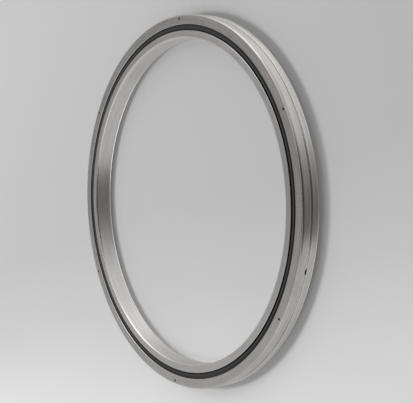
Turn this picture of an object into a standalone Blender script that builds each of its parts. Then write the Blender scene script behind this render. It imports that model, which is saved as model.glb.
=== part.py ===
"""A slim crossed roller bearing, lying on its rear face with its axis on +Z.

Units are metres. The origin is the centre of the rear face. The outer ring is split into a front and a
rear half, held together by tie pins. Cylindrical rollers, each turned a quarter turn from the next, run
between the 45 degree raceways of the outer halves and the V of the inner ring, with a spacer block between
each two. A rubber seal closes the gap between the rings at each face.
"""

import math

import bmesh
import bpy
from mathutils import Matrix, Vector

# Rings
BORE_DIAMETER = 0.350
SECTION_HEIGHT = 0.025          # from the bore to the outside, measured along a radius
RING_WIDTH = 0.020
EDGE_CHAMFER = 0.0014           # outside and bore corners, and the inner ring's corners beside the seals
SEAL_EDGE_CHAMFER = 0.0004      # the outer ring's corners beside the seals

# Rollers, spacers and raceways
PITCH_HEIGHT = 0.0117           # from the bore to the circle of roller centres
ROLLER_DIAMETER = 0.008
ROLLER_END_CLEARANCE = 0.0005   # how much shorter than its diameter a roller is
ROLLERS_PER_SEGMENT = 4
SEGMENT_COUNT = 24
SPACER_EMBED = 0.0003           # how deep a roller sits in the spacer's end
SPACER_SIDE_CLEARANCE = 0.0001  # how much narrower than a roller a spacer is
LAND_GAP = 0.0018               # between the rings, beside the raceways
RELIEF_HALF_WIDTH = 0.0008      # relief groove at the bottom of each raceway
RELIEF_DEPTH = 0.0003

# Seals
SEAL_OUTER_HEIGHT = 0.0025      # seal seat wall, outside the roller circle
SEAL_INNER_HEIGHT = 0.0033      # inner ring step, inside the roller circle
SEAL_THICKNESS = 0.0022
SEAL_RECESS = 0.0004            # seal surface below the ring faces
SEAL_LIP_WIDTH = 0.0015         # sloping lip next to the inner ring
SEAL_LIP_DROP = 0.0013          # how far the lip's edge lies below the seal surface

# Oil groove and its slots, in the rear half of the outer ring, against the split
OIL_GROOVE_WIDTH = 0.0018
OIL_GROOVE_SHARE = 0.25         # how much of the wall outside the raceways the groove goes into
OIL_GROOVE_CHAMFER = 0.0004     # outer corner of the groove's rear wall
OIL_SLOT_LAND = 0.0002          # groove floor left on each side of a slot
OIL_SLOT_LENGTH = 0.0052
OIL_SLOT_COUNT = 3
OIL_SLOT_ANGLE = math.radians(15)

# Tie pins
PIN_DIAMETER = 0.0016
PIN_RECESS = 0.0012
PIN_COUNT = 6

# Clearances
RUNNING_GAP = 0.0003            # between pieces that move past each other
SEAT_GAP = 0.0003               # between pieces that are fixed to each other

# Faceting
RING_FACETS = 60
ROLLER_FACETS = 8               # a multiple of four, so that flats face the raceways and the spacers
HOLE_FACETS = 10
MERGE_DISTANCE = 0.00005
SHARP_ANGLE = math.radians(40)          # smooth over the facets of rings and holes, sharp at chamfers
ROLLER_SHARP_ANGLE = math.radians(60)   # smooth over the facets of a roller, sharp at its ends
CUTTER_OVERSHOOT = 0.001

# Sizes that follow from those above
BORE_RADIUS = BORE_DIAMETER / 2
OUTER_RADIUS = BORE_RADIUS + SECTION_HEIGHT
PITCH_RADIUS = BORE_RADIUS + PITCH_HEIGHT
MID_HEIGHT = RING_WIDTH / 2
FACET_SAG = OUTER_RADIUS * (1 - math.cos(math.pi / RING_FACETS))
INNER_RACE_REACH = (ROLLER_DIAMETER / 2 + RUNNING_GAP) * math.sqrt(2)
OUTER_RACE_REACH = INNER_RACE_REACH + FACET_SAG
OUTER_LAND_RADIUS = PITCH_RADIUS + LAND_GAP / 2
INNER_LAND_RADIUS = PITCH_RADIUS - LAND_GAP / 2
SEAL_SEAT_RADIUS = PITCH_RADIUS + SEAL_OUTER_HEIGHT
INNER_STEP_RADIUS = PITCH_RADIUS - SEAL_INNER_HEIGHT
SEAL_POCKET_DEPTH = SEAL_RECESS + SEAL_THICKNESS + SEAT_GAP
RELIEF_RADIUS = PITCH_RADIUS + OUTER_RACE_REACH + RELIEF_DEPTH
GROOVE_FLOOR_RADIUS = OUTER_RADIUS - OIL_GROOVE_SHARE * (OUTER_RADIUS - RELIEF_RADIUS)
PIN_CIRCLE_RADIUS = (RELIEF_RADIUS + GROOVE_FLOOR_RADIUS) / 2
PIN_HOLE_DIAMETER = PIN_DIAMETER + 2 * SEAT_GAP
ROLLER_LENGTH = ROLLER_DIAMETER - ROLLER_END_CLEARANCE
ROLLER_CORNER_RADIUS = ROLLER_DIAMETER / 2 / math.cos(math.pi / ROLLER_FACETS)
ROLLER_PITCH_ANGLE = math.tau / (ROLLERS_PER_SEGMENT * SEGMENT_COUNT)


def clear_scene():
    """Remove every object, so that the script can run in any file."""
    for item in list(bpy.data.objects):
        bpy.data.objects.remove(item, do_unlink=True)


def new_collection(name):
    """Make a collection in the scene."""
    collection = bpy.data.collections.new(name)
    bpy.context.scene.collection.children.link(collection)
    return collection


def make_material(name, colour, roughness, metallic):
    """Make a plain surface with one colour, roughness and metallic value."""
    material = bpy.data.materials.new(name)
    material.use_nodes = True
    shader = material.node_tree.nodes["Principled BSDF"]
    shader.inputs["Base Color"].default_value = (*colour, 1.0)
    shader.inputs["Roughness"].default_value = roughness
    shader.inputs["Metallic"].default_value = metallic
    material.diffuse_color = (*colour, 1.0)
    return material


def mirror_heights(profile):
    """Mirror a profile in the middle plane, and turn its order round so that it still faces out."""
    return [(radius, RING_WIDTH - height) for radius, height in reversed(profile)]


def turned_ring(name, profile, collection, material):
    """Turn a closed profile of (radius, height) points about the bearing's axis."""
    mesh = bpy.data.meshes.new(name)
    points = [(radius, 0.0, height) for radius, height in profile]
    edges = [(index, (index + 1) % len(points)) for index in range(len(points))]
    mesh.from_pydata(points, edges, [])
    mesh.materials.append(material)
    ring = bpy.data.objects.new(name, mesh)
    collection.objects.link(ring)
    screw = ring.modifiers.new("turn", "SCREW")
    screw.angle = math.tau
    screw.steps = RING_FACETS
    screw.render_steps = RING_FACETS
    screw.use_merge_vertices = True
    screw.merge_threshold = MERGE_DISTANCE
    return ring


def add_boolean(target, other, operation):
    """Cut another object from the target, or join it to the target."""
    boolean = target.modifiers.new(operation.lower(), "BOOLEAN")
    boolean.operation = operation
    boolean.solver = "EXACT"
    boolean.object = other


def settle(piece, sharp_angle=SHARP_ANGLE):
    """Make the modifiers' result the piece's own mesh, smooth on its round faces and sharp at its corners."""
    graph = bpy.context.evaluated_depsgraph_get()
    mesh = bpy.data.meshes.new_from_object(piece.evaluated_get(graph))
    mesh.name = piece.name
    mesh.shade_smooth()
    mesh.set_sharp_from_angle(angle=sharp_angle)
    piece.modifiers.clear()
    piece.data = mesh


def object_from_bmesh(name, shape, collection):
    """Put a finished bmesh into an object of its own."""
    mesh = bpy.data.meshes.new(name)
    shape.to_mesh(mesh)
    shape.free()
    item = bpy.data.objects.new(name, mesh)
    collection.objects.link(item)
    return item


def as_cutter(item):
    """Show a cutter as wire and keep it out of renders."""
    item.display_type = "WIRE"
    item.hide_render = True
    return item


def outer_front_profile():
    """Section of the front half of the outer ring, from its face down its outside and back up its raceway."""
    split_height = MID_HEIGHT + SEAT_GAP / 2
    relief_edge = MID_HEIGHT + RELIEF_HALF_WIDTH
    pocket_floor = RING_WIDTH - SEAL_POCKET_DEPTH
    return [
        (OUTER_RADIUS - EDGE_CHAMFER, RING_WIDTH),
        (OUTER_RADIUS, RING_WIDTH - EDGE_CHAMFER),
        (OUTER_RADIUS, split_height),
        (RELIEF_RADIUS, split_height),
        (RELIEF_RADIUS, relief_edge),
        (PITCH_RADIUS + OUTER_RACE_REACH - RELIEF_HALF_WIDTH, relief_edge),
        (OUTER_LAND_RADIUS, MID_HEIGHT + OUTER_RACE_REACH - LAND_GAP / 2),
        (OUTER_LAND_RADIUS, pocket_floor),
        (SEAL_SEAT_RADIUS, pocket_floor),
        (SEAL_SEAT_RADIUS, RING_WIDTH - SEAL_EDGE_CHAMFER),
        (SEAL_SEAT_RADIUS + SEAL_EDGE_CHAMFER, RING_WIDTH),
    ]


def outer_rear_profile():
    """Section of the rear half: the front half mirrored, with the oil groove cut beside the split."""
    profile = mirror_heights(outer_front_profile())
    groove_end = MID_HEIGHT - OIL_GROOVE_WIDTH
    split_height = MID_HEIGHT - SEAT_GAP / 2
    corner = profile.index((OUTER_RADIUS, split_height))
    groove = [
        (GROOVE_FLOOR_RADIUS, split_height),
        (GROOVE_FLOOR_RADIUS, groove_end),
        (OUTER_RADIUS - OIL_GROOVE_CHAMFER, groove_end),
        (OUTER_RADIUS, groove_end - OIL_GROOVE_CHAMFER),
    ]
    return profile[:corner] + groove + profile[corner + 1:]


def inner_ring_profile():
    """Section of the inner ring, from its front step down its V raceway and back up its bore."""
    pocket_floor = RING_WIDTH - SEAL_POCKET_DEPTH
    relief_edge = MID_HEIGHT + RELIEF_HALF_WIDTH
    front = [
        (INNER_STEP_RADIUS - EDGE_CHAMFER, RING_WIDTH),
        (INNER_STEP_RADIUS, RING_WIDTH - EDGE_CHAMFER),
        (INNER_STEP_RADIUS, pocket_floor),
        (INNER_LAND_RADIUS, pocket_floor),
        (INNER_LAND_RADIUS, MID_HEIGHT + INNER_RACE_REACH - LAND_GAP / 2),
        (PITCH_RADIUS - INNER_RACE_REACH + RELIEF_HALF_WIDTH, relief_edge),
        (PITCH_RADIUS - INNER_RACE_REACH - RELIEF_DEPTH, relief_edge),
    ]
    bore = [
        (BORE_RADIUS + EDGE_CHAMFER, 0.0),
        (BORE_RADIUS, EDGE_CHAMFER),
        (BORE_RADIUS, RING_WIDTH - EDGE_CHAMFER),
        (BORE_RADIUS + EDGE_CHAMFER, RING_WIDTH),
    ]
    return front + mirror_heights(front) + bore


def front_seal_profile():
    """Section of the front seal: a flat band in the outer ring's seat, with a lip that slopes to the inner ring."""
    top = RING_WIDTH - SEAL_RECESS
    bottom = top - SEAL_THICKNESS
    inner_edge = INNER_STEP_RADIUS + RUNNING_GAP
    outer_edge = SEAL_SEAT_RADIUS - SEAT_GAP
    return [
        (outer_edge, top),
        (outer_edge, bottom),
        (inner_edge, bottom),
        (inner_edge, top - SEAL_LIP_DROP),
        (inner_edge + SEAL_LIP_WIDTH, top),
    ]


def pin_positions():
    """Centres of the tie pins on their circle, at the middle of the ring's width."""
    angles = [index * math.tau / PIN_COUNT for index in range(PIN_COUNT)]
    return [
        (PIN_CIRCLE_RADIUS * math.cos(angle), PIN_CIRCLE_RADIUS * math.sin(angle), MID_HEIGHT)
        for angle in angles
    ]


def pin_hole_cutter(collection):
    """One cutter that drills every pin hole through both halves of the outer ring."""
    shape = bmesh.new()
    for position in pin_positions():
        bmesh.ops.create_cone(
            shape,
            cap_ends=True,
            segments=HOLE_FACETS,
            radius1=PIN_HOLE_DIAMETER / 2,
            radius2=PIN_HOLE_DIAMETER / 2,
            depth=RING_WIDTH + 2 * CUTTER_OVERSHOOT,
            matrix=Matrix.Translation(position),
        )
    return as_cutter(object_from_bmesh("pin_hole_cutter", shape, collection))


def oil_slot_shape(shape, angle):
    """Add one radial slot with round ends, from outside the groove into the space between the raceways."""
    slot_width = OIL_GROOVE_WIDTH - 2 * OIL_SLOT_LAND
    inner_end = PITCH_RADIUS
    outer_end = OUTER_RADIUS + CUTTER_OVERSHOOT
    # The cylinder's own axis becomes the radius, and its X axis stays along the ring.
    added = bmesh.ops.create_cone(
        shape,
        cap_ends=True,
        segments=HOLE_FACETS,
        radius1=slot_width / 2,
        radius2=slot_width / 2,
        depth=outer_end - inner_end,
    )["verts"]
    stretch = (OIL_SLOT_LENGTH - slot_width) / 2
    for vertex in added:
        vertex.co.y += math.copysign(stretch, vertex.co.y)
    radial = Vector((math.cos(angle), math.sin(angle), 0.0))
    tangent = Vector((-math.sin(angle), math.cos(angle), 0.0))
    upward = Vector((0.0, 0.0, 1.0))
    frame = Matrix((upward, tangent, -radial)).transposed().to_4x4()
    centre = radial * (inner_end + outer_end) / 2
    centre.z = MID_HEIGHT - OIL_GROOVE_WIDTH / 2
    bmesh.ops.transform(shape, matrix=Matrix.Translation(centre) @ frame, verts=added)


def oil_slot_cutter(collection):
    """One cutter that makes every oil slot."""
    shape = bmesh.new()
    for index in range(OIL_SLOT_COUNT):
        oil_slot_shape(shape, OIL_SLOT_ANGLE + index * math.tau / OIL_SLOT_COUNT)
    return as_cutter(object_from_bmesh("oil_slot_cutter", shape, collection))


def build_outer_ring(parts, cutters, steel):
    """Both halves of the outer ring, drilled for the tie pins and slotted for oil."""
    front = turned_ring("outer_ring_front", outer_front_profile(), parts, steel)
    rear = turned_ring("outer_ring_rear", outer_rear_profile(), parts, steel)
    pin_holes = pin_hole_cutter(cutters)
    add_boolean(front, pin_holes, "DIFFERENCE")
    add_boolean(rear, pin_holes, "DIFFERENCE")
    add_boolean(rear, oil_slot_cutter(cutters), "DIFFERENCE")
    settle(front)
    settle(rear)


def build_inner_ring(parts, steel):
    """The one-piece inner ring."""
    settle(turned_ring("inner_ring", inner_ring_profile(), parts, steel))


def build_seals(parts, rubber):
    """The seal of each face. The rear one is the front one mirrored."""
    profile = front_seal_profile()
    settle(turned_ring("front_seal", profile, parts, rubber))
    settle(turned_ring("rear_seal", mirror_heights(profile), parts, rubber))


def build_tie_pins(parts, steel):
    """The pins that hold the halves of the outer ring together, set below both faces."""
    shape = bmesh.new()
    bmesh.ops.create_cone(
        shape,
        cap_ends=True,
        segments=HOLE_FACETS,
        radius1=PIN_DIAMETER / 2,
        radius2=PIN_DIAMETER / 2,
        depth=RING_WIDTH - 2 * PIN_RECESS,
    )
    mesh = bpy.data.meshes.new("tie_pin")
    shape.to_mesh(mesh)
    shape.free()
    mesh.materials.append(steel)
    mesh.shade_smooth()
    mesh.set_sharp_from_angle(angle=SHARP_ANGLE)
    for number, position in enumerate(pin_positions(), start=1):
        pin = bpy.data.objects.new(f"tie_pin_{number}", mesh)
        pin.location = position
        parts.objects.link(pin)


def race_frame(angle, lean):
    """Place and axes at one point of the roller circle: X along the circle, Z leaning 45 degrees, Y square to both.

    A lean of 1 tips Z up towards the front face, and -1 tips it down.
    """
    radial = Vector((math.cos(angle), math.sin(angle), 0.0))
    tangent = Vector((-math.sin(angle), math.cos(angle), 0.0))
    axis = (radial + lean * Vector((0.0, 0.0, 1.0))).normalized()
    frame = Matrix((tangent, axis.cross(tangent), axis)).transposed().to_4x4()
    centre = radial * PITCH_RADIUS
    centre.z = MID_HEIGHT
    return Matrix.Translation(centre) @ frame


def segment_rollers(collection):
    """The rollers of one segment, each turned a quarter turn from the one before.

    Their flats lie on the surface of the round roller, so they keep its gap to the raceways.
    """
    shape = bmesh.new()
    half_facet = Matrix.Rotation(math.pi / ROLLER_FACETS, 4, "Z")
    for index in range(ROLLERS_PER_SEGMENT):
        lean = 1 if index % 2 == 0 else -1
        bmesh.ops.create_cone(
            shape,
            cap_ends=True,
            segments=ROLLER_FACETS,
            radius1=ROLLER_CORNER_RADIUS,
            radius2=ROLLER_CORNER_RADIUS,
            depth=ROLLER_LENGTH,
            matrix=race_frame(index * ROLLER_PITCH_ANGLE, lean) @ half_facet,
        )
    return object_from_bmesh("segment_rollers", shape, collection)


def segment_spacers(collection):
    """The spacer blocks of one segment: one after each roller, the last one clear of the next segment."""
    shape = bmesh.new()
    pitch = 2 * PITCH_RADIUS * math.sin(ROLLER_PITCH_ANGLE / 2)
    side = ROLLER_DIAMETER - 2 * SPACER_SIDE_CLEARANCE
    seat = ROLLER_DIAMETER / 2 - SPACER_EMBED
    for index in range(ROLLERS_PER_SEGMENT):
        is_last = index == ROLLERS_PER_SEGMENT - 1
        far_end = ROLLER_DIAMETER / 2 + SEAT_GAP if is_last else seat
        length = pitch - seat - far_end
        shift = Matrix.Translation(((seat - far_end) / 2, 0.0, 0.0))
        size = Matrix.Diagonal((length, side, side, 1.0))
        place = race_frame((index + 0.5) * ROLLER_PITCH_ANGLE, 1)
        bmesh.ops.create_cube(shape, size=1.0, matrix=place @ shift @ size)
    return object_from_bmesh("segment_spacers", shape, collection)


def build_roller_set(parts, cutters, steel):
    """The whole circle of rollers and spacers, in equal segments that share one mesh."""
    rollers = segment_rollers(cutters)
    spacers = as_cutter(segment_spacers(cutters))
    add_boolean(rollers, spacers, "UNION")
    settle(rollers, ROLLER_SHARP_ANGLE)
    mesh = rollers.data
    mesh.name = "roller_segment"
    mesh.materials.clear()
    mesh.materials.append(steel)
    bpy.data.objects.remove(rollers, do_unlink=True)
    axis = bpy.data.objects.new("roller_set_axis", None)
    parts.objects.link(axis)
    for number in range(1, SEGMENT_COUNT + 1):
        segment = bpy.data.objects.new(f"roller_segment_{number:02d}", mesh)
        segment.rotation_euler.z = (number - 1) * ROLLERS_PER_SEGMENT * ROLLER_PITCH_ANGLE
        segment.parent = axis
        parts.objects.link(segment)


def build():
    """Build every piece of the bearing."""
    clear_scene()
    parts = new_collection("crossed_roller_bearing")
    cutters = new_collection("cutters")
    ring_steel = make_material("ground_ring_steel", (0.50, 0.50, 0.48), 0.30, 1.0)
    bore_steel = make_material("ground_inner_steel", (0.55, 0.55, 0.53), 0.28, 1.0)
    pin_steel = make_material("pin_steel", (0.20, 0.20, 0.20), 0.45, 1.0)
    roller_steel = make_material("polished_roller_steel", (0.62, 0.62, 0.62), 0.15, 1.0)
    rubber = make_material("seal_rubber", (0.035, 0.035, 0.038), 0.60, 0.0)
    build_outer_ring(parts, cutters, ring_steel)
    build_inner_ring(parts, bore_steel)
    build_seals(parts, rubber)
    build_tie_pins(parts, pin_steel)
    build_roller_set(parts, cutters, roller_steel)


build()
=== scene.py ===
"""Looks of the crossed roller bearing: detailed rings, seals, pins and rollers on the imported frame.

Everything is built in millimetres and scaled to metres as it becomes a mesh. The bearing lies on its rear
face, with its axis on +Z, and the camera looks down on its front face.
"""

import math

import bmesh
import bpy
from mathutils import Matrix, Vector


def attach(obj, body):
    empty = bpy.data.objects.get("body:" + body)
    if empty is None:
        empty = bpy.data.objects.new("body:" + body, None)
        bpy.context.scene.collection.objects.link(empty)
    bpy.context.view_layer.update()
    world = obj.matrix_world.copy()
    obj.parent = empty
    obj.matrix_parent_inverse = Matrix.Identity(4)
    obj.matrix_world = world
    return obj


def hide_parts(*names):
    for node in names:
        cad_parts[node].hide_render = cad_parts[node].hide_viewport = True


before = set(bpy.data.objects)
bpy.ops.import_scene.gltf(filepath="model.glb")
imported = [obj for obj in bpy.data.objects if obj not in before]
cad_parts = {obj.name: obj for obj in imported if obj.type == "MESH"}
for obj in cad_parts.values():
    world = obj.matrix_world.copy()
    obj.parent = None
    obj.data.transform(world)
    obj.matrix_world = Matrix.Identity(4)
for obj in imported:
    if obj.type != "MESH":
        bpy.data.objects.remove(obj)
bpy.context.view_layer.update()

MM = 0.001

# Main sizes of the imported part, in millimetres
BORE_RADIUS = 175.0
OUTER_RADIUS = 200.0
WIDTH = 20.0
MIDDLE = WIDTH / 2
SEAT_GAP = 0.3            # between fixed pieces
RUNNING_GAP = 0.3         # between moving pieces
ROLLER_RADIUS = 4.0
ROLLER_LENGTH = 7.5
ROLLERS_PER_SEGMENT = 4
SEGMENT_COUNT = 24
PITCH_RADIUS = 186.7      # circle of the rollers' centres
RACE_REACH = (ROLLER_RADIUS + RUNNING_GAP) * math.sqrt(2)    # from that circle to the point of a raceway's V
OUTER_LAND_RADIUS = 187.6
INNER_LAND_RADIUS = 185.8
RELIEF_HALF_WIDTH = 0.8   # of the square groove at the point of the V
RELIEF_DEPTH = 0.3
SEAL_SEAT_RADIUS = 189.5
INNER_STEP_RADIUS = 183.1
POCKET_DEPTH = 2.9        # of the pockets that hold the seals
SEAL_TOP = WIDTH - 0.4
SEAL_THICKNESS = 2.2
GROOVE_DEPTH = 1.66
GROOVE_WIDTH = 1.8
SLOT_ANGLES = [15.0, 135.0, 255.0]
SLOT_LENGTH = 5.2
SLOT_WIDTH = 1.4
PIN_CIRCLE_RADIUS = 195.85
PIN_COUNT = 6
PIN_RADIUS = 0.8
PIN_HOLE_RADIUS = 1.1
PIN_RECESS = 1.2

# Sizes of the looks, in millimetres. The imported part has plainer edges.
CORNER = 2.0              # rounding of the outside and bore corners at the front
REAR_CORNER = 1.2         # rounding of the outside corner at the rear
REAR_BORE_CORNER = 1.6    # rounding of the bore corner at the rear
STEP_CORNER = 0.4         # rounding of the inner ring beside the seal
SPLIT_CORNER = 0.35       # rounding of the front half at the groove
SPLIT_LINE = 0.04         # what stays open between the halves
GROOVE_LIP = 0.4          # rounding of the groove's rear edge
GROOVE_CORNER = 0.15      # rounding at the bottom of the groove
COUNTERSINK = 0.25        # depth of the bevel at both ends of a pin hole

# Edge values move the steel's colour lighter (above 0) or darker (below 0). A plain flat has 0, and a
# corner rubbed by handling 1. Values above 1 add a painted highlight, and values below 0 are painted shade.
# A painted highlight for the groove and the bore's rear corner.
PAINTED_HIGHLIGHT = 2.0
# Painted shade, black, for the walls of the seal gaps.
PAINTED_SHADE = -2.0
# Painted shade in the groove beside the slots.
PAINTED_SLOT_SHADE = -6.0              # low enough to stay black halfway to the next points round the ring
SLOT_SHADE_REACH = 0.5         # degrees to each side of a slot's middle in which points get painted shade

# Tones along the outside of each half, as (height, edge value). On the front half they make lighter and
# darker bands. On the rear half they are a painted highlight below the groove and painted shade towards the
# floor.
FRONT_TONES = [(15.5, 0.15), (13.0, -0.3), (11.4, 0.0)]
REAR_HIGHLIGHT_AND_SHADE = [(7.6, 0.6), (5.9, 0.4), (5.0, 0.0), (3.0, -0.25)]

# Fineness of the meshes
RING_STEPS = 384          # points round a ring
PIN_HOLE_STEPS = 28
PIN_STEPS = 24
SLOT_STEPS = 32
ROLLER_STEPS = 36
POCKET_STEPS = 48
ROUND_STEPS = 6           # spans over one rounding
SUPPORT = 0.05            # distance from a rounding to the point that ends it
LONGEST_ROUNDING = 0.9    # share of a straight stretch that one rounding may take
MERGE = 0.0001            # points closer than this become one
SLACK = 0.01              # allowance when points are picked by their place
OVERSHOOT = 1.0           # a cutter sticks out of what it cuts by at least this
SHARP_ANGLE = 38          # degrees; steeper folds stay sharp
UV_LENGTH = 80.0          # length of outline that fills one unit of V


# Mesh helpers

def rounded(corners):
    """Round the corners of a closed outline of (radius, height, rounding) or (..., rounding, edge value).

    Gives (radius, height, edge value) points. Where no edge value is given, a point without rounding has 0
    and a rounding has 1. A point of value 0 stands at each end of a rounding.
    """
    outline = []
    count = len(corners)
    for index, (radius, height, rounding, *given) in enumerate(corners):
        tone = given[0] if given else 1.0
        corner = Vector((radius, height))
        before = Vector(corners[index - 1][:2]) - corner
        after = Vector(corners[(index + 1) % count][:2]) - corner
        if rounding <= 0:
            outline.append((radius, height, given[0] if given else 0.0))
            continue
        reach_before = before.length
        reach_after = after.length
        before.normalize()
        after.normalize()
        half = math.acos(max(-1.0, min(1.0, before.dot(after)))) / 2
        back = min(rounding / math.tan(half), LONGEST_ROUNDING * reach_before, LONGEST_ROUNDING * reach_after)
        centre = corner + (before + after).normalized() * back / math.cos(half)
        start = corner + before * back
        end = corner + after * back
        outline.append((*(start + before * SUPPORT), 0.0))
        for step in range(ROUND_STEPS + 1):
            share = step / ROUND_STEPS
            spoke = (start - centre).lerp(end - centre, share).normalized()
            place = centre + spoke * (start - centre).length
            outline.append((*place, tone))
        outline.append((*(end + after * SUPPORT), 0.0))
    return outline


def smooth_mesh(mesh):
    """Smooth a mesh between its sharp corners."""
    mesh.shade_smooth()
    mesh.set_sharp_from_angle(angle=math.radians(SHARP_ANGLE))


def finish_mesh(shape, name, materials):
    """Turn a bmesh in millimetres into an object in metres, smooth between its sharp corners."""
    bmesh.ops.recalc_face_normals(shape, faces=shape.faces)
    bmesh.ops.scale(shape, vec=(MM, MM, MM), verts=shape.verts)
    mesh = bpy.data.meshes.new(name)
    shape.to_mesh(mesh)
    shape.free()
    for material in materials:
        mesh.materials.append(material)
    smooth_mesh(mesh)
    item = bpy.data.objects.new(name, mesh)
    bpy.context.scene.collection.objects.link(item)
    return item


def turn(shape, outline, steps, closed=True, matrix=None):
    """Turn an outline of (radius, height, edge value) points about Z and add it to a bmesh."""
    edge_layer = shape.verts.layers.float.get("edge") or shape.verts.layers.float.new("edge")
    uv_layer = shape.loops.layers.uv.get("UVMap") or shape.loops.layers.uv.new("UVMap")
    along = [0.0]
    for index in range(1, len(outline) + 1):
        a = outline[index - 1]
        b = outline[index % len(outline)]
        along.append(along[-1] + math.hypot(b[0] - a[0], b[1] - a[1]))
    rows = []
    for step in range(steps):
        angle = math.tau * step / steps
        row = []
        for radius, height, edge in outline:
            place = Vector((radius * math.cos(angle), radius * math.sin(angle), height))
            if matrix is not None:
                place = matrix @ place
            vertex = shape.verts.new(place)
            vertex[edge_layer] = edge
            row.append(vertex)
        rows.append(row)
    spans = len(outline) if closed else len(outline) - 1
    for step in range(steps):
        near = rows[step]
        far = rows[(step + 1) % steps]
        for index in range(spans):
            other = (index + 1) % len(outline)
            face = shape.faces.new((near[index], far[index], far[other], near[other]))
            values = (
                (step, along[index]),
                (step + 1, along[index]),
                (step + 1, along[index + 1]),
                (step, along[index + 1]),
            )
            for loop, (turn_step, length) in zip(face.loops, values):
                loop[uv_layer].uv = (turn_step / steps, length / UV_LENGTH)


def turn_solid(shape, outline, steps, matrix):
    """Add a solid to a bmesh. Its outline starts and ends on the axis that it turns about."""
    turn(shape, outline, steps, closed=False, matrix=matrix)
    bmesh.ops.remove_doubles(shape, verts=shape.verts, dist=MERGE)


def turned_ring(name, corners, materials):
    """A ring about Z from the corners of its section."""
    shape = bmesh.new()
    turn(shape, rounded(corners), RING_STEPS)
    return finish_mesh(shape, name, materials)


def mirrored(corners):
    """The same section at the other face of the bearing."""
    return [(radius, WIDTH - height, *rest) for radius, height, *rest in reversed(corners)]


def directions(angle):
    """The directions outwards from the bearing's axis and round it."""
    return Vector((math.cos(angle), math.sin(angle), 0.0)), Vector((-math.sin(angle), math.cos(angle), 0.0))


def pin_place(number):
    """The place of a tie pin and its hole, as a matrix."""
    angle = math.tau * number / PIN_COUNT
    x = PIN_CIRCLE_RADIUS * math.cos(angle)
    y = PIN_CIRCLE_RADIUS * math.sin(angle)
    return Matrix.Translation((x, y, 0.0))


def cut(target, cutters):
    """Cut the cutters from the target and delete them."""
    for cutter in cutters:
        boolean = target.modifiers.new("cut", "BOOLEAN")
        boolean.operation = "DIFFERENCE"
        boolean.solver = "EXACT"
        boolean.material_mode = "TRANSFER"
        boolean.object = cutter
    graph = bpy.context.evaluated_depsgraph_get()
    mesh = bpy.data.meshes.new_from_object(target.evaluated_get(graph))
    target.modifiers.clear()
    target.data = mesh
    smooth_mesh(mesh)
    for cutter in cutters:
        bpy.data.objects.remove(cutter, do_unlink=True)


# Material helpers

HEIGHT_SHARE = 0.83       # how much height moves the turning marks on, beside radius
EDGE_SHIFT = 0.22         # how far an edge value of 1 moves the steel along its ramp
STEEL_SPREAD = 0.06       # how far the steel's roughness strays to both sides


def new_tree(name):
    """A new material with only its Principled shader and output. Gives it, its tree and the shader."""
    material = bpy.data.materials.new(name)
    material.use_nodes = True
    tree = material.node_tree
    return material, tree, tree.nodes["Principled BSDF"]


def object_place(tree):
    """The place on the object, in metres."""
    return tree.nodes.new("ShaderNodeTexCoord").outputs["Object"]


def math_node(tree, operation, first, second=None):
    """A Math node. Each input is a socket or a number."""
    item = tree.nodes.new("ShaderNodeMath")
    item.operation = operation
    for index, value in enumerate((first, second)):
        if value is None:
            continue
        if isinstance(value, (int, float)):
            item.inputs[index].default_value = value
        else:
            tree.links.new(value, item.inputs[index])
    return item.outputs[0]


def noise_node(tree, vector, scale, detail, roughness=0.5):
    """A Noise Texture's value."""
    item = tree.nodes.new("ShaderNodeTexNoise")
    item.inputs["Scale"].default_value = scale
    item.inputs["Detail"].default_value = detail
    item.inputs["Roughness"].default_value = roughness
    tree.links.new(vector, item.inputs["Vector"])
    return item.outputs["Fac"]


def range_node(tree, value, low, high, new_low, new_high):
    """A Map Range node that takes low to new_low and high to new_high."""
    item = tree.nodes.new("ShaderNodeMapRange")
    tree.links.new(value, item.inputs["Value"])
    item.inputs["From Min"].default_value = low
    item.inputs["From Max"].default_value = high
    item.inputs["To Min"].default_value = new_low
    item.inputs["To Max"].default_value = new_high
    return item.outputs["Result"]


def ramp_node(tree, value, stops):
    """A Color Ramp with (position, colour) stops."""
    item = tree.nodes.new("ShaderNodeValToRGB")
    elements = item.color_ramp.elements
    elements[0].position, elements[0].color = stops[0][0], (*stops[0][1], 1.0)
    elements[1].position, elements[1].color = stops[-1][0], (*stops[-1][1], 1.0)
    for position, colour in stops[1:-1]:
        elements.new(position).color = (*colour, 1.0)
    tree.links.new(value, item.inputs["Fac"])
    return item.outputs["Color"]


def add_bump(tree, shader, height, strength, distance):
    """Bump the shader's surface. The distance is in millimetres."""
    bump = tree.nodes.new("ShaderNodeBump")
    bump.inputs["Strength"].default_value = strength
    bump.inputs["Distance"].default_value = distance * MM
    tree.links.new(height, bump.inputs["Height"])
    tree.links.new(bump.outputs[0], shader.inputs["Normal"])


def lay_vector(tree, across, around):
    """Coordinates in which noise is drawn out along the turning marks, which run round the bearing's axis.

    They move on by across over a millimetre of radius, and by around over a radian round the ring. Height
    moves them on as well, so that the bore and the outside have marks.
    """
    parts = tree.nodes.new("ShaderNodeSeparateXYZ")
    tree.links.new(object_place(tree), parts.inputs[0])
    x, y, z = parts.outputs
    squares = math_node(tree, "ADD", math_node(tree, "MULTIPLY", x, x), math_node(tree, "MULTIPLY", y, y))
    radius = math_node(tree, "SQRT", squares)
    lay = math_node(tree, "ADD", math_node(tree, "MULTIPLY", radius, across / MM),
                    math_node(tree, "MULTIPLY", z, HEIGHT_SHARE * across / MM))
    joined = tree.nodes.new("ShaderNodeCombineXYZ")
    tree.links.new(lay, joined.inputs[0])
    for index, side in ((1, x), (2, y)):
        turned = math_node(tree, "MULTIPLY", math_node(tree, "DIVIDE", side, radius), around)
        tree.links.new(turned, joined.inputs[index])
    return joined.outputs[0]


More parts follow.
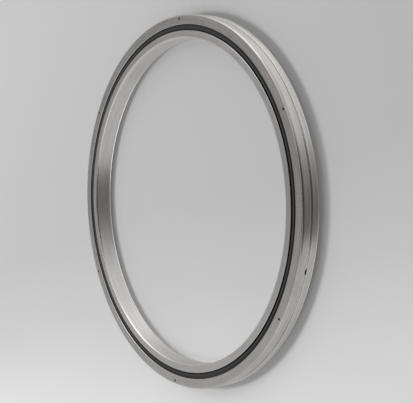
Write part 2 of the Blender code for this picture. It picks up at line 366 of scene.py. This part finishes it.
def turned_steel(name, dark, light, roughness):
    """Ground steel with marks round the axis, soft bands and faint stains, lightened by edge value for rubbed
    wear and painted highlights, and darkened for painted shade.
    """
    material, tree, shader = new_tree(name)
    fine = noise_node(tree, lay_vector(tree, across=5.0, around=5.0), scale=1.0, detail=2.0, roughness=0.6)
    bands = noise_node(tree, lay_vector(tree, across=0.8, around=3.0), scale=1.0, detail=2.0)
    stains = noise_node(tree, object_place(tree), scale=28.0, detail=4.0, roughness=0.6)
    # The edge attribute carries rubbed wear, painted highlights and painted shade.
    edge = tree.nodes.new("ShaderNodeAttribute")
    edge.attribute_name = "edge"
    mix = math_node(tree, "ADD", math_node(tree, "MULTIPLY", bands, 0.5),
                    math_node(tree, "ADD", math_node(tree, "MULTIPLY", fine, 0.25),
                              math_node(tree, "MULTIPLY", stains, 0.25)))
    toned = math_node(tree, "ADD", mix, math_node(tree, "MULTIPLY", edge.outputs["Fac"], EDGE_SHIFT))
    # Negative edge values reach the black, which is painted shade; high ones reach the worn white, which is
    # rubbed wear and painted highlight.
    black = (0.02, 0.02, 0.02)
    worn = (0.88, 0.88, 0.87)
    stops = [(0.0, black), (0.08, black), (0.36, dark), (0.66, light), (1.0, worn)]
    tree.links.new(ramp_node(tree, toned, stops), shader.inputs["Base Color"])
    rough = range_node(tree, mix, 0.3, 0.7, roughness - STEEL_SPREAD, roughness + STEEL_SPREAD)
    rubbed = range_node(tree, edge.outputs["Fac"], 0.0, 1.0, 0.0, 0.1)
    tree.links.new(math_node(tree, "SUBTRACT", rough, rubbed), shader.inputs["Roughness"])
    add_bump(tree, shader, fine, strength=0.12, distance=0.02)
    tangent = tree.nodes.new("ShaderNodeTangent")
    tangent.direction_type = "RADIAL"
    tangent.axis = "Z"
    tree.links.new(tangent.outputs[0], shader.inputs["Tangent"])
    shader.inputs["Metallic"].default_value = 1.0
    shader.inputs["Anisotropic"].default_value = 0.6
    shader.inputs["Anisotropic Rotation"].default_value = 0.25
    return material


def moulded_rubber(name):
    """Charcoal seal rubber with moulding rings, a fine grain and a little dust."""
    material, tree, shader = new_tree(name)
    rings = noise_node(tree, lay_vector(tree, across=1.6, around=2.0), scale=1.0, detail=2.0)
    place = object_place(tree)
    grain = noise_node(tree, place, scale=2500.0, detail=2.0)
    dust = noise_node(tree, place, scale=60.0, detail=5.0, roughness=0.65)
    mix = math_node(tree, "ADD", math_node(tree, "MULTIPLY", rings, 0.5),
                    math_node(tree, "MULTIPLY", dust, 0.5))
    stops = [(0.3, (0.021, 0.021, 0.022)), (0.7, (0.039, 0.039, 0.041))]
    tree.links.new(ramp_node(tree, mix, stops), shader.inputs["Base Color"])
    tree.links.new(range_node(tree, mix, 0.3, 0.7, 0.42, 0.62), shader.inputs["Roughness"])
    add_bump(tree, shader, math_node(tree, "ADD", grain, rings), strength=0.25, distance=0.03)
    shader.inputs["Specular IOR Level"].default_value = 0.3
    return material


def speckled(name, dark, light, roughness, spread, scale, metallic, bump_depth):
    """A surface with a fine, even grain: black pin ends and hole walls, whose black is painted shade,
    polished rollers and plastic spacers.
    """
    material, tree, shader = new_tree(name)
    grain = noise_node(tree, object_place(tree), scale, detail=4.0, roughness=0.6)
    tree.links.new(ramp_node(tree, grain, [(0.3, dark), (0.7, light)]), shader.inputs["Base Color"])
    tree.links.new(range_node(tree, grain, 0.3, 0.7, roughness - spread, roughness + spread),
                   shader.inputs["Roughness"])
    add_bump(tree, shader, grain, strength=0.2, distance=bump_depth)
    shader.inputs["Metallic"].default_value = metallic
    return material


outer_steel = turned_steel(
    "ground_outer_steel", dark=(0.487, 0.472, 0.455), light=(0.668, 0.652, 0.635), roughness=0.26,
)
inner_steel = turned_steel(
    "ground_inner_steel", dark=(0.562, 0.548, 0.535), light=(0.755, 0.74, 0.726), roughness=0.33,
)
seal_rubber = moulded_rubber("seal_rubber_charcoal")
# Black pin ends deep in their holes: painted shade.
pin_end_shade_black = speckled(
    "pin_end_painted_shade", dark=(0.02, 0.02, 0.02), light=(0.06, 0.058, 0.055),
    roughness=0.5, spread=0.1, scale=900.0, metallic=1.0, bump_depth=0.02,
)
# Black for the walls of the pin holes and slots: painted shade.
hole_shade_black = speckled(
    "hole_wall_painted_shade", dark=(0.008, 0.008, 0.008), light=(0.02, 0.019, 0.018),
    roughness=0.7, spread=0.1, scale=900.0, metallic=0.0, bump_depth=0.02,
)
roller_steel = speckled(
    "polished_roller_steel", dark=(0.60, 0.60, 0.60), light=(0.70, 0.70, 0.69),
    roughness=0.14, spread=0.04, scale=700.0, metallic=1.0, bump_depth=0.005,
)
spacer_plastic = speckled(
    "spacer_plastic", dark=(0.09, 0.085, 0.07), light=(0.13, 0.12, 0.10),
    roughness=0.5, spread=0.08, scale=1200.0, metallic=0.0, bump_depth=0.03,
)


# Outer ring. Sections are lists of (radius, height, rounding, edge value), as rounded() takes them.

def outer_front_corners():
    """Section of the front half: down its outside to the split, and up past the raceway and the seal seat."""
    split = MIDDLE + SEAT_GAP / 2
    floor = WIDTH - POCKET_DEPTH
    relief = PITCH_RADIUS + RACE_REACH + RELIEF_DEPTH
    return [
        (OUTER_RADIUS, WIDTH, CORNER, 0.0),
        *((OUTER_RADIUS, height, 0, tone) for height, tone in FRONT_TONES),
        (OUTER_RADIUS, split, SPLIT_CORNER, 0.8),
        (relief, split, 0),
        (relief, MIDDLE + RELIEF_HALF_WIDTH, 0),
        (PITCH_RADIUS + RACE_REACH - RELIEF_HALF_WIDTH, MIDDLE + RELIEF_HALF_WIDTH, 0),
        (OUTER_LAND_RADIUS, MIDDLE + RACE_REACH - (OUTER_LAND_RADIUS - PITCH_RADIUS), 0.2),
        (OUTER_LAND_RADIUS, floor, 0.1),
        # The seal pocket's wall is painted black: painted shade.
        (SEAL_SEAT_RADIUS, floor, 0, PAINTED_SHADE),
        (SEAL_SEAT_RADIUS, WIDTH - 0.6, 0, PAINTED_SHADE),
        # The seal seat's corner is brighter than a rubbed corner: rubbed wear with a painted highlight.
        (SEAL_SEAT_RADIUS, WIDTH, 0.5, 1.6),
    ]


def outer_rear_corners():
    """Section of the rear half: the front half mirrored as far as the split, then the groove and the outside.

    It reaches up to the front half, so that the split shows as a fine line.
    """
    mirror = mirrored(outer_front_corners())
    relief = PITCH_RADIUS + RACE_REACH + RELIEF_DEPTH
    inside = mirror[:mirror.index((relief, MIDDLE - SEAT_GAP / 2, 0))]
    top = MIDDLE + SEAT_GAP / 2 - SPLIT_LINE
    bottom_radius = OUTER_RADIUS - GROOVE_DEPTH
    groove_end = MIDDLE - GROOVE_WIDTH
    return [
        *inside,
        (relief, top, 0),
        # The groove's floor and rear wall carry a painted highlight, and its lip rubbed wear with a painted
        # highlight.
        (bottom_radius, top, 0, PAINTED_HIGHLIGHT),
        (bottom_radius, groove_end + 2 * GROOVE_CORNER, 0, PAINTED_HIGHLIGHT),
        (bottom_radius, groove_end, GROOVE_CORNER, PAINTED_HIGHLIGHT),
        (bottom_radius + 2 * GROOVE_CORNER, groove_end, 0, PAINTED_HIGHLIGHT),
        (OUTER_RADIUS - GROOVE_LIP - GROOVE_CORNER, groove_end, 0, PAINTED_HIGHLIGHT),
        (OUTER_RADIUS, groove_end, GROOVE_LIP, 1.3),
        # Painted highlight below the groove and painted shade towards the floor.
        *((OUTER_RADIUS, height, 0, tone) for height, tone in REAR_HIGHLIGHT_AND_SHADE),
        # The rear outside corner is darkened: painted shade where the bearing meets the floor.
        (OUTER_RADIUS, 0.0, REAR_CORNER, -0.3),
    ]


def pin_hole_cutters():
    """Holes for the tie pins, a little countersunk at both faces."""
    wide = PIN_HOLE_RADIUS + COUNTERSINK + OVERSHOOT
    outline = [
        (0.0, -OVERSHOOT, 0),
        (wide, -OVERSHOOT, 0),
        (PIN_HOLE_RADIUS, COUNTERSINK, 0),
        (PIN_HOLE_RADIUS, WIDTH - COUNTERSINK, 0),
        (wide, WIDTH + OVERSHOOT, 0),
        (0.0, WIDTH + OVERSHOOT, 0),
    ]
    found = []
    for number in range(PIN_COUNT):
        shape = bmesh.new()
        turn_solid(shape, outline, PIN_HOLE_STEPS, pin_place(number))
        # The hole's wall takes the cutter's black, which is painted shade.
        found.append(finish_mesh(shape, "pin_hole", [hole_shade_black]))
    return found


def slot_cutters():
    """Slots with round ends, from the groove into the space between the raceways."""
    found = []
    for degrees in SLOT_ANGLES:
        radial, tangent = directions(math.radians(degrees))
        shape = bmesh.new()
        rows = []
        for distance in (PITCH_RADIUS, OUTER_RADIUS + OVERSHOOT):
            row = []
            for step in range(SLOT_STEPS):
                turn_angle = math.tau * (step + 0.5) / SLOT_STEPS
                side = SLOT_WIDTH / 2 * math.cos(turn_angle)
                side += math.copysign((SLOT_LENGTH - SLOT_WIDTH) / 2, side)
                height = MIDDLE - GROOVE_WIDTH / 2 + SLOT_WIDTH / 2 * math.sin(turn_angle)
                row.append(shape.verts.new(radial * distance + tangent * side + Vector((0, 0, height))))
            rows.append(row)
        for step in range(SLOT_STEPS):
            other = (step + 1) % SLOT_STEPS
            shape.faces.new((rows[0][step], rows[0][other], rows[1][other], rows[1][step]))
        shape.faces.new(rows[0])
        shape.faces.new(rows[1])
        # The slot's walls take the cutter's black, which is painted shade.
        found.append(finish_mesh(shape, "slot", [hole_shade_black]))
    return found


def shade_groove_beside_slots(item):
    """Blacken the groove and the front half's edge beside each slot with painted shade."""
    low = MIDDLE - GROOVE_WIDTH - SLACK
    high = MIDDLE + SEAT_GAP / 2 + SPLIT_CORNER + SLACK
    for vertex, edge in zip(item.data.vertices, item.data.attributes["edge"].data):
        x, y, z = vertex.co / MM
        in_groove = math.hypot(x, y) > OUTER_RADIUS - GROOVE_DEPTH - SLACK and low < z < high
        turned = math.degrees(math.atan2(y, x))
        beside = any(abs((turned - degrees + 180) % 360 - 180) < SLOT_SHADE_REACH for degrees in SLOT_ANGLES)
        if in_groove and beside:
            edge.value = PAINTED_SLOT_SHADE


outer_front = turned_ring("outer_ring_front_detail", outer_front_corners(), [outer_steel])
shade_groove_beside_slots(outer_front)
cut(outer_front, pin_hole_cutters())
outer_rear = turned_ring("outer_ring_rear_detail", outer_rear_corners(), [outer_steel])
shade_groove_beside_slots(outer_rear)
cut(outer_rear, pin_hole_cutters() + slot_cutters())
for item, node in ((outer_front, "outer_ring_front"), (outer_rear, "outer_ring_rear")):
    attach(item, "outer_ring")
    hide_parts(node)


# Inner ring

def inner_corners():
    """Section of the inner ring: down its outer side, past the raceways, and up its bore."""
    floor = WIDTH - POCKET_DEPTH
    front = [
        (INNER_STEP_RADIUS, WIDTH, STEP_CORNER),
        # The step's wall beside the seal is painted black: painted shade.
        (INNER_STEP_RADIUS, WIDTH - STEP_CORNER - 0.2, 0, PAINTED_SHADE),
        (INNER_STEP_RADIUS, floor, 0, PAINTED_SHADE),
        (INNER_LAND_RADIUS, floor, 0.1),
        (INNER_LAND_RADIUS, MIDDLE + RACE_REACH - (PITCH_RADIUS - INNER_LAND_RADIUS), 0.2),
        (PITCH_RADIUS - RACE_REACH + RELIEF_HALF_WIDTH, MIDDLE + RELIEF_HALF_WIDTH, 0),
        (PITCH_RADIUS - RACE_REACH - RELIEF_DEPTH, MIDDLE + RELIEF_HALF_WIDTH, 0),
    ]
    bore = [
        # The bore's rear corner carries a painted highlight.
        (BORE_RADIUS, 0.0, REAR_BORE_CORNER, PAINTED_HIGHLIGHT),
        (BORE_RADIUS, WIDTH, CORNER),
    ]
    return front + mirrored(front) + bore


inner = turned_ring("inner_ring_detail", inner_corners(), [inner_steel])
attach(inner, "inner_ring")
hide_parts("inner_ring")


# Seals

# The seal's surface from its inner edge outwards, as (distance from that edge, depth under its top, rounding)
SEAL_LIP = [(0.00, 1.90, 0.08), (0.30, 1.80, 0.1), (0.60, 2.00, 0.08), (1.00, 1.90, 0.12), (1.35, 0.25, 0.15)]
SEAL_BAND = [(1.75, 0.00, 0.2), (3.85, 0.00, 0.08)]
SEAL_GROOVE = [(3.95, 0.90, 0.06), (4.95, 0.90, 0.06), (5.10, 0.15, 0.08)]


def seal_corners():
    """A flat band with a lip that drops towards the inner ring, and a groove and a bead on its other side."""
    outer_edge = SEAL_SEAT_RADIUS - SEAT_GAP
    inner_edge = INNER_STEP_RADIUS + RUNNING_GAP
    bottom = SEAL_TOP - SEAL_THICKNESS
    surface = SEAL_LIP + SEAL_BAND + SEAL_GROOVE
    return [
        (outer_edge, bottom, 0.1),
        (inner_edge, bottom, 0.1),
        *((inner_edge + distance, SEAL_TOP - depth, rounding) for distance, depth, rounding in surface),
        (outer_edge - 0.20, SEAL_TOP - 0.15, 0.1),
        (outer_edge, SEAL_TOP - 0.40, 0.1),
    ]


front_seal = turned_ring("front_seal_detail", seal_corners(), [seal_rubber])
rear_seal = turned_ring("rear_seal_detail", mirrored(seal_corners()), [seal_rubber])
for item, node in ((front_seal, "front_seal"), (rear_seal, "rear_seal")):
    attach(item, "outer_ring")
    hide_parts(node)


# Tie pins

# Dished end of a pin from its middle outwards, as (radius, depth into the pin, edge value)
PIN_END = [
    (0.0, 0.08, 0),
    (PIN_RADIUS * 0.6, 0.032, 0),
    (PIN_RADIUS - 0.2, 0.0, 0),
    (PIN_RADIUS - 0.06, 0.05, 1),
    (PIN_RADIUS, 0.2, 0),
]


def tie_pin(number):
    """A pin through both halves of the outer ring, below their faces at both ends."""
    low = PIN_RECESS
    high = WIDTH - PIN_RECESS
    outline = [(radius, low + depth, edge) for radius, depth, edge in PIN_END]
    outline += [(radius, high - depth, edge) for radius, depth, edge in reversed(PIN_END)]
    shape = bmesh.new()
    turn_solid(shape, outline, PIN_STEPS, pin_place(number))
    return finish_mesh(shape, f"tie_pin_{number + 1}_detail", [pin_end_shade_black])


for number in range(PIN_COUNT):
    item = tie_pin(number)
    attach(item, "outer_ring")
    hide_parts(f"tie_pin_{number + 1}")


# Rollers and spacers

ROLLER_CORNER = 0.35      # rounding of the rollers' corners
ROLLER_CORNER_STEPS = 3
ROLLER_DISH = 0.08        # depth of the hollow in the rollers' ends
DISH_FLOOR = 0.55         # radius of the hollow's flat, as a share of the roller's
DISH_RIM = 0.62           # radius of the hollow's edge, as a share of the roller's
SPACER_MARGIN = 0.3       # how much narrower than a roller a spacer is
SPACER_CUTBACK = 5.0      # how much shorter than the rollers' spacing a spacer is before its sides are cut
SPACER_BEVEL = 0.5
POCKET_GAP = 0.06         # between a roller and the hollow side of a spacer
STEP_ANGLE = math.tau / (ROLLERS_PER_SEGMENT * SEGMENT_COUNT)


def race_frame(angle, lean):
    """Place and axes on the roller circle.

    X runs along the circle. Z points outwards, 45 degrees up with a lean of 1 and 45 degrees down with -1.
    """
    radial, tangent = directions(angle)
    axis = (radial + lean * Vector((0.0, 0.0, 1.0))).normalized()
    axes = Matrix((tangent, axis.cross(tangent), axis)).transposed().to_4x4()
    centre = radial * PITCH_RADIUS
    centre.z = MIDDLE
    return Matrix.Translation(centre) @ axes


def roller_frame(index):
    """Place and axes of a roller of the segment, crossed to the roller before it."""
    return race_frame(index * STEP_ANGLE, 1 if index % 2 == 0 else -1)


def add_roller(shape, matrix):
    """Add a roller with rounded corners and slightly dished ends to a bmesh."""
    end = -ROLLER_LENGTH / 2
    outline = [
        (0.0, end + ROLLER_DISH, 0),
        (ROLLER_RADIUS * DISH_FLOOR, end + ROLLER_DISH, 0),
        (ROLLER_RADIUS * DISH_RIM, end, 0),
        (ROLLER_RADIUS - ROLLER_CORNER, end, 0),
    ]
    for step in range(1, ROLLER_CORNER_STEPS + 1):
        angle = math.pi / 2 * step / ROLLER_CORNER_STEPS
        radius = ROLLER_RADIUS - ROLLER_CORNER + ROLLER_CORNER * math.sin(angle)
        outline.append((radius, end + ROLLER_CORNER - ROLLER_CORNER * math.cos(angle), 1))
    outline += [(radius, -height, edge) for radius, height, edge in reversed(outline)]
    turn_solid(shape, outline, ROLLER_STEPS, matrix)


def segment_rollers():
    """The rollers of one segment, each crossed to the next."""
    shape = bmesh.new()
    for index in range(ROLLERS_PER_SEGMENT):
        add_roller(shape, roller_frame(index))
    return finish_mesh(shape, "rollers", [roller_steel])


def segment_spacers():
    """The spacers of one segment: bevelled blocks, cut to the shape of the rollers on both sides."""
    shape = bmesh.new()
    length = 2 * PITCH_RADIUS * math.sin(STEP_ANGLE / 2) - SPACER_CUTBACK
    side = 2 * ROLLER_RADIUS - SPACER_MARGIN
    for index in range(ROLLERS_PER_SEGMENT):
        matrix = race_frame((index + 0.5) * STEP_ANGLE, 1) @ Matrix.Diagonal((length, side, side, 1.0))
        made = bmesh.ops.create_cube(shape, size=1.0, matrix=matrix)["verts"]
        edges = list({edge for vertex in made for edge in vertex.link_edges})
        bmesh.ops.bevel(shape, geom=edges, offset=SPACER_BEVEL, segments=2, affect="EDGES")
    item = finish_mesh(shape, "spacers", [spacer_plastic])
    radius = ROLLER_RADIUS + POCKET_GAP
    pockets = []
    for index in range(ROLLERS_PER_SEGMENT + 1):
        shape = bmesh.new()
        bmesh.ops.create_cone(shape, cap_ends=True, segments=POCKET_STEPS, radius1=radius, radius2=radius,
                              depth=2 * (ROLLER_RADIUS + OVERSHOOT), matrix=roller_frame(index))
        pockets.append(finish_mesh(shape, "pocket", []))
    cut(item, pockets)
    return item


def segment_mesh():
    """One segment as a single mesh: four rollers and the spacers that part them."""
    rollers = segment_rollers()
    spacers = segment_spacers()
    joined = bmesh.new()
    joined.from_mesh(rollers.data)
    roller_faces = len(joined.faces)
    joined.from_mesh(spacers.data)
    joined.faces.ensure_lookup_table()
    for face in joined.faces[roller_faces:]:
        face.material_index = 1
    mesh = bpy.data.meshes.new("roller_segment_detail")
    joined.to_mesh(mesh)
    joined.free()
    mesh.materials.append(roller_steel)
    mesh.materials.append(spacer_plastic)
    smooth_mesh(mesh)
    bpy.data.objects.remove(rollers, do_unlink=True)
    bpy.data.objects.remove(spacers, do_unlink=True)
    return mesh


segment = segment_mesh()
for number in range(SEGMENT_COUNT):
    item = bpy.data.objects.new(f"roller_segment_{number + 1:02d}_detail", segment)
    item.rotation_euler.z = math.tau * number / SEGMENT_COUNT
    bpy.context.scene.collection.objects.link(item)
    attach(item, "roller_set")
    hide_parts(f"roller_segment_{number + 1:02d}")


# Floor

FLOOR_REACH = 6000.0      # millimetres from its middle to its edges
FLOOR_DROP = 0.02         # how far under the bearing it lies, in millimetres
FLOOR_DRIFT = 0.4         # metres to each side of the middle over which its tones run
FLOOR_SLANT = 0.3         # how much Y counts in that run, beside X

# Painted light on the floor from the bottom of the picture to its top, as (share of the way, tone)
FLOOR_PAINTED_LIGHT = [(0.0, 0.74), (0.25, 0.61), (0.375, 0.505), (0.5, 0.45), (0.65, 0.45), (0.9, 0.47)]


def floor_material():
    """A pale, matt floor with painted light: its colour is lightest at the bottom of the picture."""
    material, tree, shader = new_tree("pale_floor")
    place = object_place(tree)
    clouds = noise_node(tree, place, scale=2.2, detail=3.0)
    parts = tree.nodes.new("ShaderNodeSeparateXYZ")
    tree.links.new(place, parts.inputs[0])
    slant = math_node(tree, "MULTIPLY", parts.outputs[1], FLOOR_SLANT)
    slanted = math_node(tree, "ADD", parts.outputs[0], slant)
    across = range_node(tree, slanted, -FLOOR_DRIFT, FLOOR_DRIFT, 0.0, 1.0)
    drift = math_node(tree, "ADD", across, range_node(tree, clouds, 0.3, 0.7, -0.02, 0.02))
    stops = [(share, (tone,) * 3) for share, tone in FLOOR_PAINTED_LIGHT]
    tree.links.new(ramp_node(tree, drift, stops), shader.inputs["Base Color"])
    tree.links.new(range_node(tree, clouds, 0.3, 0.7, 0.8, 0.9), shader.inputs["Roughness"])
    shader.inputs["Specular IOR Level"].default_value = 0.1
    return material


def build_floor():
    """A wide floor under the bearing. The steel doesn't mirror it."""
    shape = bmesh.new()
    bmesh.ops.create_grid(shape, x_segments=8, y_segments=8, size=FLOOR_REACH)
    bmesh.ops.translate(shape, vec=(0, 0, -FLOOR_DROP), verts=shape.verts)
    floor = finish_mesh(shape, "studio_floor", [floor_material()])
    floor.visible_glossy = False


build_floor()


# Light

# Brightness of the studio in rows from below to above, each as (azimuth in degrees, brightness) stops
WORLD_ROWS = [
    [   # straight below
        (-180, 1.70), (-150, 1.30), (-115, 1.00), (-105, 0.38), (-60, 0.38), (-40, 1.00), (0, 1.20),
        (25, 1.00), (60, 0.70), (100, 0.80), (135, 1.80), (180, 1.70),
    ],
    [   # low, which the outside and the bore mirror to the camera
        (-180, 0.58), (-114, 0.57), (-109, 0.18), (-96, 0.17), (-84, 0.19), (-74, 0.27), (-62, 0.42),
        (-52, 0.57), (-38, 0.78), (-3, 0.89), (12, 1.00), (22, 0.96), (35, 0.78), (52, 0.62), (68, 0.56),
        (80, 0.50), (92, 0.46), (104, 0.50), (131, 0.56), (180, 0.58),
    ],
    [   # level, which they mirror less
        (-180, 0.62), (-116, 0.60), (-111, 0.11), (-84, 0.12), (-74, 0.15), (-62, 0.26), (-52, 0.45),
        (-38, 0.70), (-12, 0.76), (6, 1.20), (20, 1.10), (33, 0.75), (50, 0.55), (75, 0.40), (100, 0.45),
        (130, 0.60), (180, 0.60),
    ],
    [   # higher, which the ground faces mirror to the camera
        (-180, 0.76), (-150, 0.85), (-120, 0.62), (-112, 0.02), (-60, 0.02), (-50, 0.16), (-38, 0.60),
        (-14, 0.62), (2, 1.00), (21, 2.10), (40, 1.30), (56, 0.85), (68, 0.46), (80, 0.36), (92, 0.36),
        (98, 0.45), (104, 0.53), (114, 0.56), (130, 0.55), (155, 0.70), (180, 0.76),
    ],
    [   # high above
        (-180, 0.52), (-120, 0.52), (-108, 0.05), (-50, 0.05), (-38, 0.40), (-14, 0.35), (6, 0.95),
        (45, 1.15), (62, 0.50), (75, 0.18), (85, 0.05), (110, 0.05), (135, 0.40), (180, 0.52),
    ],
]

# Where each row gives way to the next, as a range of the direction's height from -1 (down) to 1 (up)
ROW_BLENDS = [(-0.86, -0.72), (-0.42, -0.2), (0.25, 0.42), (0.76, 0.84)]
BACKDROP = 0.58           # grey that the camera sees past the floor
BOX_DISTANCE = 3.0        # metres from the bearing's middle to each soft box


def studio_world():
    """A studio of soft boxes and dark gaps round the bearing. The camera sees plain grey in its place."""
    world = bpy.data.worlds.new("studio")
    bpy.context.scene.world = world
    world.use_nodes = True
    tree = world.node_tree
    background = tree.nodes["Background"]
    direction = tree.nodes.new("ShaderNodeTexCoord").outputs["Generated"]
    parts = tree.nodes.new("ShaderNodeSeparateXYZ")
    tree.links.new(direction, parts.inputs[0])
    x, y, z = parts.outputs
    azimuth = math_node(tree, "ARCTAN2", y, x)
    place = range_node(tree, azimuth, -math.pi, math.pi, 0.0, 1.0)
    rings = [ramp_node(tree, place, [((degrees + 180) / 360, (value,) * 3) for degrees, value in stops])
             for stops in WORLD_ROWS]
    whole = rings[0]
    for above, (low_edge, high_edge) in zip(rings[1:], ROW_BLENDS):
        blend = tree.nodes.new("ShaderNodeMixRGB")
        tree.links.new(range_node(tree, z, low_edge, high_edge, 0.0, 1.0), blend.inputs[0])
        tree.links.new(whole, blend.inputs[1])
        tree.links.new(above, blend.inputs[2])
        whole = blend.outputs[0]
    rays = tree.nodes.new("ShaderNodeLightPath")
    shown = tree.nodes.new("ShaderNodeMixRGB")
    tree.links.new(rays.outputs["Is Camera Ray"], shown.inputs[0])
    tree.links.new(whole, shown.inputs[1])
    shown.inputs[2].default_value = (BACKDROP, BACKDROP, BACKDROP, 1.0)
    tree.links.new(shown.outputs[0], background.inputs["Color"])


def soft_box(name, azimuth, height, size, energy):
    """A square soft box aimed at the bearing: angles in degrees, size in metres, energy in watts."""
    lamp = bpy.data.lights.new(name, "AREA")
    lamp.shape = "SQUARE"
    lamp.size = size
    lamp.energy = energy
    item = bpy.data.objects.new(name, lamp)
    around = math.radians(azimuth)
    up = math.radians(height)
    level = math.cos(up)
    direction = Vector((math.cos(around) * level, math.sin(around) * level, math.sin(up)))
    item.location = direction * BOX_DISTANCE
    item.rotation_euler = (-direction).to_track_quat("-Z", "Y").to_euler()
    item.visible_glossy = False
    bpy.context.scene.collection.objects.link(item)


studio_world()
soft_box("key", azimuth=97, height=57, size=0.55, energy=42.0)
soft_box("lower_side", azimuth=150, height=62, size=0.7, energy=11.5)
soft_box("upper_side", azimuth=44, height=60, size=0.7, energy=8.0)


# Camera

CAMERA_TILT = math.radians(53.537)     # between the line of sight and the bearing's axis
CAMERA_ROLL = math.radians(-2.464)     # of the axis in the picture, from level
NEAR_SIDE = math.radians(-84.56)       # azimuth of the side of the bearing that is nearest to the camera
FACE_CENTRE_FROM_CAMERA = Vector((-0.031839, -0.000793, -0.961254))    # in metres, on the camera's own axes
FOCAL_LENGTH = 77.56


def add_camera():
    """A camera at the photograph's place: it sees the front face's axis leaning left and nearly level."""
    normal = Vector((
        -math.sin(CAMERA_TILT) * math.cos(CAMERA_ROLL),
        math.sin(CAMERA_TILT) * math.sin(CAMERA_ROLL),
        math.cos(CAMERA_TILT),
    ))
    near = Vector((
        math.cos(CAMERA_TILT) * math.cos(CAMERA_ROLL),
        -math.cos(CAMERA_TILT) * math.sin(CAMERA_ROLL),
        math.sin(CAMERA_TILT),
    ))
    across = normal.cross(near)
    near_world = Vector((math.cos(NEAR_SIDE), math.sin(NEAR_SIDE), 0.0))
    up = Vector((0.0, 0.0, 1.0))
    across_world = up.cross(near_world)
    axes = [near_world * near[i] + across_world * across[i] + up * normal[i] for i in range(3)]
    turn_matrix = Matrix(axes).transposed()
    camera = bpy.data.cameras.new("camera")
    camera.lens = FOCAL_LENGTH
    camera.sensor_width = 36.0
    camera.clip_start = 0.05
    camera.clip_end = 50.0
    item = bpy.data.objects.new("camera", camera)
    face_centre = Vector((0.0, 0.0, WIDTH * MM))
    place = face_centre - turn_matrix @ FACE_CENTRE_FROM_CAMERA
    item.matrix_world = Matrix.Translation(place) @ turn_matrix.to_4x4()
    bpy.context.scene.collection.objects.link(item)
    bpy.context.scene.camera = item


add_camera()
bpy.context.scene.view_settings.view_transform = "Standard"
